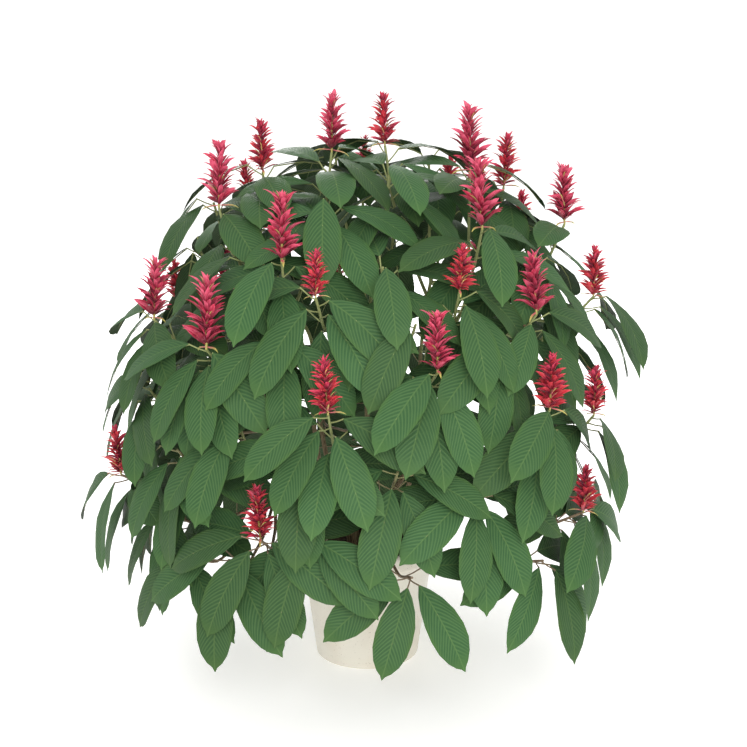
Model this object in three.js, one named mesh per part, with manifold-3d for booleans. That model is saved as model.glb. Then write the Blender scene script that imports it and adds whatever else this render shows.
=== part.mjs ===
// A Brazilian red cloak in a plain pot: a shrub of eight canes whose leafy shoots end on a dome,
// many of them under an upright spike of crimson bracts.
// Lengths are in millimetres and angles in degrees. +Z is up, the pot stands on z = 0, and the plant's
// front faces -Y. A bearing is measured round the plant from its front, positive towards +X.
import * as THREE from 'three';
import { mergeVertices } from 'three/addons/utils/BufferGeometryUtils.js';
import Module from 'manifold-3d';

const wasm = await Module();
wasm.setup();

const gap = 0.3; // between pieces that touch

// Pot and soil
const pot = { height: 330, topRadius: 182, footRadius: 138, wall: 11, floor: 15, sides: 32 };
const potBand = { height: 52, proud: 9, slant: 4, rounding: 5 };
const drain = { count: 4, radius: 9, reach: 78, sides: 8 };
const soil = { top: 298, edgeDrop: 8, edgeWidth: 26 };
const socket = { depth: 60, sides: 8 };

// The dome that the tips of the flowering shoots lie on, and the one inside it for most of the others
const dome = { radius: 640, leafyRadius: 600, middle: 650, rise: 740 };

// Canes
const sectorNames = [
  'front', 'front_right', 'right', 'back_right', 'back', 'back_left', 'left', 'front_left',
];
const sectorAngle = 360 / sectorNames.length;
const cane = { footReach: 46, footRadius: 8.5, forkRadius: 6.8, endRadius: 5, neck: 30, sides: 5 };
const caneSteps = { rise: 3, upper: 3, lower: 2 };
const caneBend = { reach: 46, height: 395 };
const caneFork = { reach: 130, height: 455 };
const caneArms = {
  upper: { knee: { reach: 185, height: 550 }, end: { reach: 205, height: 800 } },
  lower: { knee: { reach: 190, height: 505 }, end: { reach: 292, height: 500 } },
};
const levelSplit = 855; // shoots above this height grow from an upper arm

// Green stems beyond the canes: a feeder to a knuckle, and a stem from there to each shoot's tip
const stem = { knuckleRadius: 4.6, tipRadius: 3.2, lastStretch: 130, sides: 3, steps: 3 };
const knuckle = { reachShare: 0.6, riseShare: 0.55, size: 1.4 };
const tipLean = 30; // how far outwards a shoot on an upright part of the dome ends

// Leaves
const blade = { length: 228, width: 92, keel: 1.5 };
const bladeStations = [
  { along: 0.34, wide: 1 },
  { along: 0.76, wide: 0.72 },
];
const petiole = { length: 50, radius: 1.9, over: 0.75, out: 0.45, up: 0.25 };
const bladeLift = { crown: 3, side: 8, lower: 2 }; // off the dome, less for each leaf lower down
const bladeBow = { crown: 40, side: 28 }; // how much of that angle is lost from base to tip
const bladeSag = 0.18;
const faceUp = { crown: 14, side: 38 }; // how much further than the dome a blade faces up to the light
const variety = { heading: 7, lift: 5, roll: 11, length: 0.07 };
const guard = { thick: 5, wide: 2, petiole: 3 }; // the clear space that a leaf keeps round itself

// The directions of the leaves on a shoot that states none: all round it on the crown, where it faces
// up, and over the outer side only where it faces outwards.
const crownHeight = 1140;
const crownLeaves = [0, 180, 90, -90, 45, -135, -45];
const sideLeaves = [-66, 62, -22, 18, -104, 100, -2];
const leafSpacing = 17; // along the stem, from one leaf to the next
const firstLeaf = 9; // below the shoot's tip

// A leaf that would meet another piece tries these changes, and isn't grown if none clears it.
const liftTries = { angles: [0, 7, -7, 14, -14, 21, -21, 28], cost: 1 };
const turnTries = { angles: [0, 9, -9, 18, -18, 27, -27], cost: 1.2 };
const sizeTries = { shares: [1, 0.84], cost: 20 };

// Flower spikes, by shares of the spike's length and of its half width
const spike = { halfWidthShare: 0.26, lean: 5, sides: 5 };
const spikeOutline = [
  { along: 0, wide: 0.09 },
  { along: 0.07, wide: 0.09 },
  { along: 0.14, wide: 0.86 },
  { along: 0.3, wide: 1 },
  { along: 0.8, wide: 0.52 },
  { along: 1, wide: 0 },
];

// The way that the leaves keep open before a spike, by shares of the spike's length and half width
const openWay = { length: 320, rise: 0.25, low: -0.05, high: 0.95, wideLow: 1.15, wideHigh: 0.8 };
const backBearing = 100; // spikes beyond this bearing are seen from the back

// Shoots, each by the bearing and the height of its tip, and how far out of its dome it stands if it
// does. spike is the length of its flower spike.
// leaves are the directions that its leaves take over the dome, 0 down the slope and 90 to the right. A
// shoot with a spike or with leaves of its own is on the outer dome.
const shoots = [
  // the front, upper half
  { bearing: -65, height: 1246, out: 22, spike: 172, leaves: [-4, 180, 90, -120, 135, -165, 44] },
  { bearing: -75, height: 1321, spike: 138 },
  { bearing: -41, height: 1374, spike: 155 },
  { bearing: 38, height: 1385, spike: 140 },
  { bearing: 73, height: 1321, spike: 178 },
  { bearing: 100, height: 1262, spike: 148 },
  { bearing: 42, height: 1215, spike: 180 },
  { bearing: 91, height: 1175, out: 58, spike: 162, leaves: [-88, 180, -125, 105, 145] },
  { bearing: -25, height: 1158, spike: 176 },
  { bearing: -13, height: 1090, spike: 118 },
  { bearing: 25, height: 1095, spike: 120 },
  { bearing: 47, height: 1023, spike: 158 },
  { bearing: 88, height: 991, out: 18, spike: 140 },
  { bearing: -66, height: 978, spike: 162 },
  { bearing: -118, height: 921, spike: 120 },
  { bearing: -40, height: 954, spike: 184 },
  { bearing: 16, height: 930, spike: 154 },
  { bearing: -18, height: 1280 },
  { bearing: 15, height: 1342 },
  { bearing: -40, height: 1150 },
  { bearing: -22, height: 985 },
  { bearing: 5, height: 1150 },
  { bearing: 35, height: 965 },
  { bearing: 66, height: 1120 },
  // the front, lower half
  { bearing: -8, height: 842, spike: 144 },
  { bearing: 44, height: 808, spike: 150 },
  { bearing: 62, height: 751, spike: 132, leaves: [-66, -16, -42, -104, 160] },
  { bearing: -79, height: 541, out: 16, spike: 140, leaves: [-40, 30, -95, 85, 0] },
  { bearing: -23, height: 530, spike: 148 },
  { bearing: 59, height: 508, spike: 132 },
  { bearing: -14, height: 735 },
  { bearing: -50, height: 690 },
  { bearing: -32, height: 458, leaves: [-50, 4, 46, -92] },
  { bearing: -13, height: 540, leaves: [68, 28, -12, -34, -78] },
  { bearing: 10, height: 446, leaves: [-18, -56, 32, 100, -100] },
  { bearing: 45, height: 421, leaves: [-6, -44, 40, -85, 88] },
  { bearing: 25, height: 629 },
  { bearing: 7, height: 700 },
  { bearing: -68, height: 800 },
  { bearing: 80, height: 500 },
  { bearing: -62, height: 500 },
  // the back
  { bearing: -158, height: 1335 },
  { bearing: 138, height: 1325 },
  { bearing: -178, height: 1275, spike: 95 },
  { bearing: 150, height: 1180, spike: 130 },
  { bearing: -135, height: 1165, spike: 140 },
  { bearing: 126, height: 1080, spike: 150 },
  { bearing: 170, height: 1110 },
  { bearing: -152, height: 1080, spike: 150 },
  { bearing: -110, height: 1090 },
  { bearing: 145, height: 950, spike: 180 },
  { bearing: -172, height: 920, spike: 140 },
  { bearing: -138, height: 880, spike: 165 },
  { bearing: 112, height: 860, out: -28 },
  { bearing: -98, height: 790 },
  { bearing: 170, height: 740 },
  { bearing: -145, height: 730 },
  { bearing: 135, height: 690, spike: 150 },
  { bearing: -118, height: 620, spike: 140 },
  { bearing: 104, height: 560, out: -32 },
  { bearing: 160, height: 520 },
  { bearing: -165, height: 540, spike: 130 },
  { bearing: -138, height: 450 },
  { bearing: 130, height: 440 },
  { bearing: -100, height: 440 },
  { bearing: 178, height: 430 },
  // the left, upper half
  { bearing: -88, height: 1235, leaves: [4, 45, 150] },
  // small ones that close the gaps between the others, in front
  { bearing: -46, height: 425, leaves: [-35, 60] },
  { bearing: 12, height: 1035, leaves: [-20, 40] },
  { bearing: -31, height: 770, out: -60, leaves: [0, -30] },
  { bearing: -42, height: 900, out: -60, leaves: [0, 35] },
];

const { degToRad, lerp } = THREE.MathUtils;
const upwards = new THREE.Vector3(0, 0, 1);
const right = (bearing) => outward(bearing + 90);
const left = (bearing) => outward(bearing - 90);

function outward(bearing) {
  return new THREE.Vector3(Math.sin(degToRad(bearing)), -Math.cos(degToRad(bearing)), 0);
}

function place(bearing, { reach, height }) {
  return outward(bearing).multiplyScalar(reach).setZ(height);
}

function domeReach(radius, height) {
  return radius * Math.sqrt(1 - ((height - dome.middle) / dome.rise) ** 2);
}

// A repeatable number from -1 to 1 for each count, so that no two leaves are quite alike.
function wobble(count) {
  const wave = Math.sin(count * 12.9898) * 43758.5453;
  return (wave - Math.floor(wave)) * 2 - 1;
}

function moved(start, ...moves) {
  const end = start.clone();
  for (const [way, length] of moves) end.addScaledVector(way, length);
  return end;
}

// The closed skin over a row of rings. Each ring runs anticlockwise seen from the row's far end, and a
// first or last ring of one point closes the row to a tip.
function loft(rings) {
  const sides = rings[1].length > 1 ? rings[1].length : rings[0].length;
  const points = rings.flat();
  const faces = [];
  if (rings[0].length > 1) {
    for (let side = 1; side < sides - 1; side += 1) faces.push([0, side + 1, side]);
  }
  let low = 0;
  rings.slice(1).forEach((ring, index) => {
    const before = rings[index].length;
    const high = low + before;
    for (let side = 0; side < sides; side += 1) {
      const next = (side + 1) % sides;
      if (before === 1) faces.push([low, high + next, high + side]);
      else if (ring.length === 1) faces.push([low + side, low + next, high]);
      else faces.push(...splitOutwards(points, [low + side, low + next, high + next, high + side]));
    }
    low = high;
  });
  if (rings.at(-1).length > 1) {
    for (let side = 1; side < sides - 1; side += 1) faces.push([low, low + side, low + side + 1]);
  }
  return bodyOf(points, faces);
}

// Four corners as two triangles that meet along the diagonal that stands out, so that the two sides of
// a thin twisted piece stay clear of each other
function splitOutwards(points, [a, b, c, d]) {
  const [ab, ac, ad] = [b, c, d].map((corner) => points[corner].clone().sub(points[a]));
  return ab.cross(ac).dot(ad) > 0 ? [[a, b, d], [b, c, d]] : [[a, b, c], [a, c, d]];
}

function bodyOf(points, faces) {
  const edges = [];
  for (const corners of faces) {
    corners.forEach((from, index) => {
      const to = corners[(index + 1) % 3];
      if (from < to) edges.push([from, to]);
    });
  }
  return { points, faces, edges, box: new THREE.Box3().setFromPoints(points) };
}

function roundRing(centre, top, side, radius, count) {
  const ring = [];
  for (let index = 0; index < count; index += 1) {
    const angle = (index / count) * Math.PI * 2;
    ring.push(moved(centre, [top, radius * Math.cos(angle)], [side, radius * Math.sin(angle)]));
  }
  return ring;
}

function tube(curve, steps, sides, startRadius, endRadius) {
  const across = new THREE.Vector3().subVectors(curve.getPoint(1), curve.getPoint(0)).cross(upwards);
  const rings = [];
  for (let step = 0; step <= steps; step += 1) {
    const share = step / steps;
    const along = curve.getTangent(share);
    const top = new THREE.Vector3().crossVectors(across, along).normalize();
    const side = new THREE.Vector3().crossVectors(along, top);
    rings.push(roundRing(curve.getPoint(share), top, side, lerp(startRadius, endRadius, share), sides));
  }
  return loft(rings);
}

// The point this far back from the end of a row of points
function backAlong(line, distance) {
  let left = distance;
  for (let index = line.length - 1; index > 0; index -= 1) {
    const length = line[index].distanceTo(line[index - 1]);
    if (left <= length) return new THREE.Vector3().lerpVectors(line[index], line[index - 1], left / length);
    left -= length;
  }
  return line[0];
}

// Two bodies meet where an edge of one passes through a face of the other.
function meet(first, second) {
  if (!first.box.intersectsBox(second.box)) return false;
  return pierces(first, second) || pierces(second, first);
}

const edgeBox = new THREE.Box3();
const edge = new THREE.Vector3();
const sideA = new THREE.Vector3();
const sideB = new THREE.Vector3();
const slant = new THREE.Vector3();
const offset = new THREE.Vector3();
const swing = new THREE.Vector3();

function pierces(edged, faced) {
  for (const [from, to] of edged.edges) {
    const start = edged.points[from];
    const end = edged.points[to];
    edgeBox.makeEmpty().expandByPoint(start).expandByPoint(end);
    if (edgeBox.intersectsBox(faced.box)) {
      edge.subVectors(end, start);
      if (faced.faces.some((corners) => crosses(start, ...corners.map((i) => faced.points[i])))) return true;
    }
  }
  return false;
}

function crosses(start, a, b, c) {
  sideA.subVectors(b, a);
  sideB.subVectors(c, a);
  slant.crossVectors(edge, sideB);
  const scale = sideA.dot(slant);
  if (scale === 0) return false;
  offset.subVectors(start, a);
  const u = offset.dot(slant) / scale;
  if (u < 0 || u > 1) return false;
  swing.crossVectors(offset, sideA);
  const v = edge.dot(swing) / scale;
  if (v < 0 || u + v > 1) return false;
  const along = sideB.dot(swing) / scale;
  return along >= 0 && along <= 1;
}

function geometryOf(points, faces) {
  const geometry = new THREE.BufferGeometry();
  geometry.setAttribute('position', new THREE.Float32BufferAttribute(points, 3));
  geometry.setIndex(faces);
  return geometry;
}

function solidOf(geometry) {
  const bare = geometry.clone();
  bare.deleteAttribute('normal');
  bare.deleteAttribute('uv');
  const merged = mergeVertices(bare, 1e-4);
  const vertProperties = new Float32Array(merged.attributes.position.array);
  const triVerts = new Uint32Array(merged.index.array);
  return new wasm.Manifold(new wasm.Mesh({ numProp: 3, vertProperties, triVerts }));
}

function bodySolid({ points, faces }) {
  return solidOf(geometryOf(points.flatMap((point) => point.toArray()), faces.flat()));
}

const materials = {
  pot: new THREE.MeshStandardMaterial({ color: 0xe6e1d6, roughness: 0.5, metalness: 0 }),
  soil: new THREE.MeshStandardMaterial({ color: 0x3a2a1e, roughness: 1, metalness: 0 }),
  wood: new THREE.MeshStandardMaterial({ color: 0x8b7a5c, roughness: 0.8, metalness: 0 }),
  leaf: new THREE.MeshStandardMaterial({ color: 0x4b7346, roughness: 0.55, metalness: 0 }),
  bract: new THREE.MeshStandardMaterial({ color: 0xc93355, roughness: 0.6, metalness: 0 }),
};

const plant = new THREE.Group();

function show(name, solid, material) {
  const { vertProperties, triVerts } = solid.getMesh();
  const geometry = geometryOf(Array.from(vertProperties), Array.from(triVerts));
  geometry.computeVertexNormals();
  const mesh = new THREE.Mesh(geometry, material);
  mesh.name = name;
  plant.add(mesh);
}

// Pot: a tapered wall under a proud band, with drain holes through its floor.
function potRadius(height) {
  return lerp(pot.footRadius, pot.topRadius, height / pot.height);
}

function lathe(profile) {
  const points = profile.map(([radius, height]) => new THREE.Vector2(radius, height));
  return solidOf(new THREE.LatheGeometry(points, pot.sides).rotateX(Math.PI / 2));
}

// Drills a hole that reaches this far to either side of its centre, up and down.
function drill(solid, centre, radius, depth, sides) {
  const hole = new THREE.CylinderGeometry(radius, radius, depth * 2, sides).rotateX(Math.PI / 2);
  return solid.subtract(solidOf(hole.translate(centre.x, centre.y, centre.z)));
}

function makePot() {
  const bandFoot = pot.height - potBand.height;
  const bandRadius = pot.topRadius + potBand.proud;
  let solid = lathe([
    [0, 0],
    [pot.footRadius, 0],
    [potRadius(bandFoot), bandFoot],
    [bandRadius - potBand.slant, bandFoot + potBand.slant],
    [bandRadius, pot.height - potBand.rounding],
    [bandRadius - potBand.rounding, pot.height],
    [pot.topRadius - pot.wall + potBand.rounding, pot.height],
    [pot.topRadius - pot.wall, pot.height - potBand.rounding],
    [potRadius(pot.floor) - pot.wall, pot.floor],
    [0, pot.floor],
  ]);
  for (let index = 0; index < drain.count; index += 1) {
    const centre = place((index + 0.5) * (360 / drain.count), { reach: drain.reach, height: 0 });
    solid = drill(solid, centre, drain.radius, pot.floor * 2, drain.sides);
  }
  show('plant_pot', solid, materials.pot);
}

// Soil: it fills the pot to just under the rim, with a socket for the foot of each cane.
function makeSoil() {
  const inside = (height) => potRadius(height) - pot.wall - 2 * gap;
  const bottom = pot.floor + gap;
  let solid = lathe([
    [0, bottom],
    [inside(bottom), bottom],
    [inside(soil.top - soil.edgeDrop), soil.top - soil.edgeDrop],
    [inside(soil.top) - soil.edgeWidth, soil.top],
    [0, soil.top],
  ]);
  const radius = (cane.footRadius + gap) / Math.cos(Math.PI / socket.sides);
  sectorNames.forEach((name, sector) => {
    const centre = place(sector * sectorAngle, { reach: cane.footReach, height: soil.top });
    solid = drill(solid, centre, radius, socket.depth, socket.sides);
  });
  show('potting_soil', solid, materials.soil);
}

// Everything that a leaf has to keep clear of
const obstacles = [];

// Canes: each rises from its socket and forks into an upper arm and a lower arm that leans out.
function growCane(sector) {
  const bearing = sector * sectorAngle;
  const foot = place(bearing, { reach: cane.footReach, height: soil.top - socket.depth + gap });
  const neck = place(bearing, { reach: cane.footReach, height: soil.top + cane.neck });
  const fork = place(bearing, caneFork);
  const rise = new THREE.QuadraticBezierCurve3(neck, place(bearing, caneBend), fork);
  const [upper, lower] = [caneArms.upper, caneArms.lower].map(({ knee, end }) => {
    return new THREE.QuadraticBezierCurve3(fork, place(bearing, knee), place(bearing, end));
  });
  const footRings = [foot, neck].map((centre) => {
    return roundRing(centre, left(bearing), outward(bearing), cane.footRadius, cane.sides);
  });
  const bodies = [
    loft(footRings),
    tube(rise, caneSteps.rise, cane.sides, cane.footRadius, cane.forkRadius),
    tube(upper, caneSteps.upper, cane.sides, cane.forkRadius, cane.endRadius),
    tube(lower, caneSteps.lower, cane.sides, cane.forkRadius, cane.endRadius),
  ];
  obstacles.push(...bodies);
  show(`cane_${sectorNames[sector]}`, wasm.Manifold.union(bodies.map(bodySolid)), materials.wood);
  return { upper, lower };
}

// A shoot's frame: its tip, the way it ends, the way its leaves face, and at right angles to that the
// way up the slope and the way to the right.
function frameOf({ bearing, height, out = 0, spike: flower, leaves }) {
  const reach = domeReach(flower || leaves ? dome.radius : dome.leafyRadius, height) + out;
  const across = left(bearing);
  const face = outward(bearing).multiplyScalar(reach / dome.leafyRadius ** 2);
  face.setZ((height - dome.middle) / dome.rise ** 2).normalize();
  const steep = 1 - face.z;
  const tipWay = upwards.clone().applyAxisAngle(across, -degToRad(tipLean * steep ** 2));
  const turn = degToRad(lerp(faceUp.crown, faceUp.side, steep));
  face.applyAxisAngle(across, Math.min(turn, face.angleTo(upwards)));
  const slope = new THREE.Vector3().crossVectors(across, face);
  return { tip: place(bearing, { reach, height }), tipWay, face, slope, side: right(bearing) };
}

// The green wood beyond a cane's arm. Each member gets its stem and the line down the stem's middle.
function growStems(arm, members) {
  const start = moved(arm.getPoint(1), [arm.getTangent(1), gap]);
  const centre = new THREE.Vector3();
  for (const { frame } of members) centre.addScaledVector(frame.tip, 1 / members.length);
  const hub = centre.clone().multiplyScalar(knuckle.reachShare);
  hub.z = lerp(start.z, centre.z, knuckle.riseShare);
  const bend = moved(start, [arm.getTangent(1), start.distanceTo(hub) / 2]);
  const feeder = new THREE.QuadraticBezierCurve3(start, bend, hub);
  const bodies = [tube(feeder, stem.steps, stem.sides, cane.endRadius, stem.knuckleRadius)];
  for (const member of members) {
    const { tip, tipWay } = member.frame;
    const shoulder = moved(tip, [tipWay, -stem.lastStretch]);
    const middle = new THREE.Vector3().lerpVectors(hub, shoulder, 0.5);
    const curve = new THREE.CubicBezierCurve3(hub, middle, shoulder, tip);
    member.line = curve.getPoints(stem.steps);
    member.stem = tube(curve, stem.steps, stem.sides, stem.knuckleRadius, stem.tipRadius);
    bodies.push(member.stem);
  }
  obstacles.push(...bodies);
  const lump = new THREE.IcosahedronGeometry(stem.knuckleRadius * knuckle.size);
  return bodies.map(bodySolid).concat(solidOf(lump.translate(hub.x, hub.y, hub.z)));
}

// Flower spike: it follows its shoot's end for a short stalk and then stands upright.
function growSpike({ shoot, frame, count }) {
  const stalkLength = shoot.spike * spikeOutline[1].along;
  const stalkEnd = moved(frame.tip, [frame.tipWay, stalkLength]);
  const tilt = { reach: Math.tan(degToRad(spike.lean)), height: 1 };
  const upright = place(wobble(count) * 180, tilt).normalize();
  const rings = spikeOutline.map(({ along, wide }, index) => {
    const way = index === 0 ? frame.tipWay : upright;
    const centre = index === 0
      ? moved(frame.tip, [way, gap])
      : moved(stalkEnd, [way, shoot.spike * along - stalkLength]);
    if (wide === 0) return [centre];
    const top = new THREE.Vector3().crossVectors(frame.side, way).normalize();
    const side = new THREE.Vector3().crossVectors(way, top);
    return roundRing(centre, top, side, shoot.spike * spike.halfWidthShare * wide, spike.sides);
  });
  const whole = loft(rings);
  obstacles.push(whole, openBefore(shoot, stalkEnd, upright));
  return bodySolid(whole);
}

// The clear space before a spike, out to the front or the back, that keeps it in plain view.
function openBefore(shoot, stalkEnd, upright) {
  const way = new THREE.Vector3(0, Math.abs(shoot.bearing) < backBearing ? -1 : 1, openWay.rise);
  const side = new THREE.Vector3().crossVectors(way, upright).normalize();
  const half = shoot.spike * spike.halfWidthShare;
  const corner = (end, along, wide) => moved(end, [upright, shoot.spike * along], [side, half * wide]);
  return loft([stalkEnd, moved(stalkEnd, [way, openWay.length])].map((end) => [
    corner(end, openWay.low, -openWay.wideLow),
    corner(end, openWay.low, openWay.wideLow),
    corner(end, openWay.high, openWay.wideHigh),
    corner(end, openWay.high, -openWay.wideHigh),
  ]));
}

// The points of a blade's midrib and the way it runs at each, from its base to its tip.
function runMidrib(base, frame, heading, lift, bow, length) {
  const shares = [0, ...bladeStations.map(({ along }) => along), 1];
  const level = moved(new THREE.Vector3(),
    [frame.slope, -Math.cos(degToRad(heading))], [frame.side, Math.sin(degToRad(heading))]);
  const points = [base];
  const runs = [];
  for (let index = 1; index < shares.length; index += 1) {
    const middle = (shares[index] + shares[index - 1]) / 2;
    const angle = degToRad(lift - bow * middle);
    const run = moved(new THREE.Vector3(), [level, Math.cos(angle)], [frame.face, Math.sin(angle)],
      [upwards, -bladeSag * middle]).normalize();
    runs.push(run);
    points.push(moved(points.at(-1), [run, (shares[index] - shares[index - 1]) * length]));
  }
  const ways = points.map((point, index) => {
    const before = runs[Math.max(0, index - 1)];
    const after = runs[Math.min(runs.length - 1, index)];
    return before.clone().add(after).normalize();
  });
  return { level, points, ways };
}

// A flat ring across a petiole or a blade: right edge, keel and left edge, and a crest if it has one.
function leafRing(centre, way, face, halfWidth, keel, crest = 0) {
  const top = face.clone().projectOnPlane(way).normalize();
  const side = new THREE.Vector3().crossVectors(way, top);
  const ring = [
    moved(centre, [side, halfWidth]),
    moved(centre, [top, -keel]),
    moved(centre, [side, -halfWidth]),
  ];
  return crest ? [...ring, moved(centre, [top, crest])] : ring;
}

// A leaf's petiole and blade as one body, with the two roomier bodies that it is tested by.
function shapeLeaf(root, frame, { heading, lift, bow, roll, length, width }) {
  const reachOut = moved(new THREE.Vector3(), [frame.face, petiole.out], [upwards, petiole.up]);
  const { level, points, ways } = runMidrib(new THREE.Vector3(), frame, heading, lift, bow, length);
  const petioleWay = reachOut.addScaledVector(level, petiole.over).normalize();
  const base = moved(root, [petioleWay, petiole.length]);
  for (const point of points) point.add(base);
  const face = frame.face.clone().applyAxisAngle(level, degToRad(roll));
  const ring = (index, halfWidth, keel, crest) => {
    return leafRing(points[index], ways[index], face, halfWidth, keel, crest);
  };
  const { radius } = petiole;
  const neck = ring(0, radius, radius);
  const halves = bladeStations.map(({ wide }) => (width / 2) * wide);
  const tip = [points.at(-1)];
  const wideHalves = halves.map((half) => half + guard.wide);
  return {
    whole: loft([[root], neck, ...halves.map((half, index) => ring(index + 1, half, blade.keel)), tip]),
    roomyBlade: loft([
      ring(0, guard.petiole, guard.wide, guard.wide),
      ...wideHalves.map((half, index) => ring(index + 1, half, guard.thick, guard.thick)),
      [moved(tip[0], [ways.at(-1), guard.wide])],
    ]),
    roomyPetiole: loft([
      leafRing(root, petioleWay, face, guard.petiole, guard.petiole, guard.petiole),
      ring(0, guard.petiole, guard.petiole, guard.petiole),
    ]),
  };
}

const tries = liftTries.angles.flatMap((lift) => turnTries.angles.flatMap((turn) => {
  return sizeTries.shares.map((size) => {
    const effort = Math.abs(lift) * liftTries.cost + Math.abs(turn) * turnTries.cost;
    return { lift, turn, size, effort: effort + (size < 1 ? sizeTries.cost : 0) };
  });
})).sort((a, b) => a.effort - b.effort);

// Grows a shoot's leaf of this rank, counted down from the tip, where there is room for it.
function growLeaf({ frame, line, stem: ownStem, count, headings, leaves }, rank) {
  if (rank >= headings.length) return;
  const root = backAlong(line, firstLeaf + rank * leafSpacing);
  const steep = Math.min(1, 1 - frame.face.z);
  const vary = (step) => wobble(count * 37 + rank * 5 + step);
  const size = 1 + variety.length * vary(0);
  const wish = {
    heading: headings[rank] + variety.heading * vary(1),
    lift: lerp(bladeLift.crown, bladeLift.side, steep) - bladeLift.lower * rank + variety.lift * vary(2),
    bow: lerp(bladeBow.crown, bladeBow.side, steep),
    roll: variety.roll * vary(3),
  };
  for (const attempt of tries) {
    const leaf = shapeLeaf(root, frame, {
      ...wish,
      heading: wish.heading + attempt.turn,
      lift: wish.lift + attempt.lift,
      length: blade.length * size * attempt.size,
      width: blade.width * size * attempt.size,
    });
    const blocked = obstacles.some((obstacle) => {
      return meet(leaf.roomyBlade, obstacle) || (obstacle !== ownStem && meet(leaf.roomyPetiole, obstacle));
    });
    if (!blocked) {
      obstacles.push(leaf.whole);
      leaves.push(bodySolid(leaf.whole));
      return;
    }
  }
}

makePot();
makeSoil();

const members = shoots.map((shoot, index) => ({
  shoot,
  frame: frameOf(shoot),
  count: index + 1,
  sector: (Math.round(shoot.bearing / sectorAngle) + sectorNames.length) % sectorNames.length,
  level: shoot.height > levelSplit ? 'upper' : 'lower',
  headings: shoot.leaves ?? (shoot.height > crownHeight ? crownLeaves : sideLeaves),
  leaves: [],
}));

const branches = [];
sectorNames.forEach((name, sector) => {
  const arms = growCane(sector);
  for (const level of ['lower', 'upper']) {
    const own = members.filter((member) => member.sector === sector && member.level === level);
    branches.push({ name: `leafy_branch_${name}_${level}`, own, wood: growStems(arms[level], own) });
  }
});

const flowering = members.filter(({ shoot }) => shoot.spike);
flowering.forEach((member, index) => {
  show(`flower_spike_${index + 1}`, growSpike(member), materials.bract);
});

const mostLeaves = Math.max(...members.map(({ headings }) => headings.length));
for (let rank = 0; rank < mostLeaves; rank += 1) {
  for (const member of members) growLeaf(member, rank);
}

for (const { name, own, wood } of branches) {
  const leaves = own.flatMap((member) => member.leaves);
  show(name, wasm.Manifold.union([...wood, ...leaves]), materials.leaf);
}

export default plant;
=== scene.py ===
import math
import random

import bmesh
import bpy
import numpy as np
from mathutils import Matrix, Vector


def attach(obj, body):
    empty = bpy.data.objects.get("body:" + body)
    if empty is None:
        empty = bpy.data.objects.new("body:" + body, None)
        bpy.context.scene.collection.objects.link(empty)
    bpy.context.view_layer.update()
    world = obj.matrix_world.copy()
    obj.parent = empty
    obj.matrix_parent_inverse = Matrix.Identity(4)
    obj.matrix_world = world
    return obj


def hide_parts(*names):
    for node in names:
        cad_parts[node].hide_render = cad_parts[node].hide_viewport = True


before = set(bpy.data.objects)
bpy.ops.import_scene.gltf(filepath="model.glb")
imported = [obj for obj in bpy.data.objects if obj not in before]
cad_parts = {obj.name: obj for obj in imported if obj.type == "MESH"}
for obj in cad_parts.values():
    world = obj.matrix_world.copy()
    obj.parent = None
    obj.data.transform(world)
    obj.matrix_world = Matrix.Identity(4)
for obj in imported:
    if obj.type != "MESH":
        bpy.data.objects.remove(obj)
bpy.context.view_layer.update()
scene = bpy.context.scene
random.seed(11)

sectors = ["front", "front_right", "right", "back_right", "back", "back_left", "left", "front_left"]
levels = ["lower", "upper"]
bakeMap = "OFBake"  # the UV map that leaves and bracts are coloured through
mergeDistance = 1e-6  # points closer than this are one point


# Camera, at the photograph's angle

cameraSetup = {
    "place": (0.017, -4.3, 1.9),
    "aim": (0.017, 0, 0.78),
    "lens": 81.45,  # mm, on a sensor 36 mm wide
    "sensor": 36,
}


def addCamera():
    bpy.ops.object.camera_add(location=cameraSetup["place"])
    camera = bpy.context.object
    sight = Vector(cameraSetup["aim"]) - camera.location
    camera.rotation_euler = sight.to_track_quat("-Z", "Y").to_euler()
    camera.data.lens = cameraSetup["lens"]
    camera.data.sensor_width = cameraSetup["sensor"]
    scene.camera = camera


addCamera()
print("camera set")


# Small helpers for modelling

def deselectAll():
    bpy.ops.object.select_all(action="DESELECT")


def pick(piece):
    deselectAll()
    piece.select_set(True)
    bpy.context.view_layer.objects.active = piece


def editMode(on):
    bpy.ops.object.mode_set(mode="EDIT" if on else "OBJECT")


def selectWhere(piece, test):  # selects the vertices whose place passes the test, in edit mode
    mesh = bmesh.from_edit_mesh(piece.data)
    for vertex in mesh.verts:
        vertex.select_set(False)
    for vertex in mesh.verts:
        if test(vertex.co):
            vertex.select_set(True)
    mesh.select_flush_mode()
    bmesh.update_edit_mesh(piece.data)


def applyModifiers(piece):
    pick(piece)
    for modifier in list(piece.modifiers):
        bpy.ops.object.modifier_apply(modifier=modifier.name)


def joinPieces(pieces, name):
    deselectAll()
    for piece in pieces:
        piece.select_set(True)
    bpy.context.view_layer.objects.active = pieces[0]
    bpy.ops.object.join()
    whole = bpy.context.object
    whole.name = name
    whole.data.name = name
    return whole


def copyPiece(piece):  # a copy with its own mesh
    copy = piece.copy()
    copy.data = piece.data.copy()
    scene.collection.objects.link(copy)
    return copy


def cleanMesh(piece, turn=True):  # merges doubled points and turns every face outwards
    pick(piece)
    editMode(True)
    bpy.ops.mesh.select_all(action="SELECT")
    bpy.ops.mesh.remove_doubles(threshold=mergeDistance)
    if turn:
        bpy.ops.mesh.normals_make_consistent(inside=False)
    editMode(False)


def smooth(piece, angle=50):
    pick(piece)
    bpy.ops.object.shade_smooth_by_angle(angle=math.radians(angle))


def newMap(mesh):  # an empty UV map, in place of any that the mesh has
    for layer in list(mesh.uv_layers):
        mesh.uv_layers.remove(layer)
    return mesh.uv_layers.new(name=bakeMap)


def near(first, second):  # whether two places in a pattern piece, which is 1 long, are the same
    return abs(first - second) < 0.01


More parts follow.
